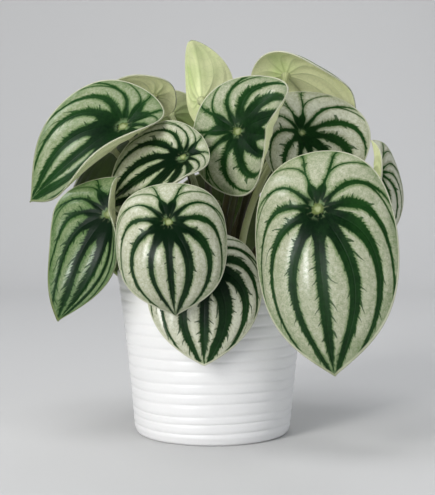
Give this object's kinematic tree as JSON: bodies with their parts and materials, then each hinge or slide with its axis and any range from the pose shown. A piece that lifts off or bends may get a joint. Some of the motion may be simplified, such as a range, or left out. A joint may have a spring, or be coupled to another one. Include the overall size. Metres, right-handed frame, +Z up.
{
  "type": "potted watermelon peperomia",
  "caption": "House plant with round, shield-shaped striped leaves on slender arching stalks, standing in potting mix in a softly banded, tapered white pot.",
  "frame": {"origin": "middle of the flat foot of the pot, on its axis, at the level that the pot stands on", "axes": "+Z up along the pot's axis; -Y towards the front, where the largest leaves hang; +X to the right seen from the front"},
  "size_m": [0.2273, 0.1871, 0.2407],
  "materials": {
    "pot_white": "satin",
    "potting_mix": "matte",
    "leaf_green": "satin",
    "stalk_pale": "satin"
  },
  "bodies": {
    "root": {"pot": "pot_white", "potting_mix": "potting_mix", "leaf_01": "leaf_green", "leaf_02": "leaf_green", "leaf_03": "leaf_green", "leaf_04": "leaf_green", "leaf_05": "leaf_green", "leaf_06": "leaf_green", "leaf_07": "leaf_green", "leaf_08": "leaf_green", "leaf_09": "leaf_green", "leaf_10": "leaf_green", "leaf_11": "leaf_green", "leaf_12": "leaf_green", "leaf_13": "leaf_green", "leaf_14": "leaf_green", "leaf_15": "leaf_green", "leaf_16": "leaf_green", "leaf_17": "leaf_green", "leaf_18": "leaf_green", "leaf_19": "leaf_green", "leaf_20": "leaf_green", "leaf_21": "leaf_green", "stalk_01": "stalk_pale", "stalk_02": "stalk_pale", "stalk_03": "stalk_pale", "stalk_04": "stalk_pale", "stalk_05": "stalk_pale", "stalk_06": "stalk_pale", "stalk_07": "stalk_pale", "stalk_08": "stalk_pale", "stalk_09": "stalk_pale", "stalk_10": "stalk_pale", "stalk_11": "stalk_pale", "stalk_12": "stalk_pale", "stalk_13": "stalk_pale", "stalk_14": "stalk_pale", "stalk_15": "stalk_pale", "stalk_16": "stalk_pale", "stalk_17": "stalk_pale", "stalk_18": "stalk_pale", "stalk_19": "stalk_pale", "stalk_20": "stalk_pale", "stalk_21": "stalk_pale"}
  },
  "joints": []
}
